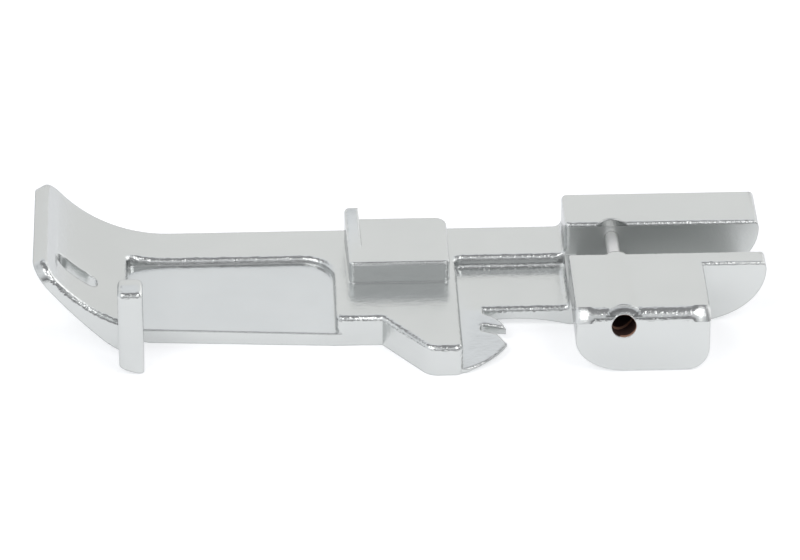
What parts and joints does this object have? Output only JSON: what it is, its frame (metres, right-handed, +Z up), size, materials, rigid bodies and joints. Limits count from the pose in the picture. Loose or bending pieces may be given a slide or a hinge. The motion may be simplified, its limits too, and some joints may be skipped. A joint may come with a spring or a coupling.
{
  "type": "sewing machine presser foot",
  "caption": "Plated cast clip-on foot for an overlock machine, with upturned slotted toe, knife tab and relief, stitch tongue and a heel slot with a cross pin for the ankle.",
  "frame": {"origin": "centre of the foot's outline on the plane of the sole", "axes": "+X from toe to heel, +Y from the knife side to the far side, +Z up from the sole"},
  "size_m": [0.0666, 0.022, 0.0091],
  "materials": {
    "plated_casting": "bright satin plating",
    "pin_steel": "drawn and plated"
  },
  "bodies": {
    "root": {"foot_casting": "plated_casting", "cross_pin": "pin_steel"}
  },
  "joints": []
}
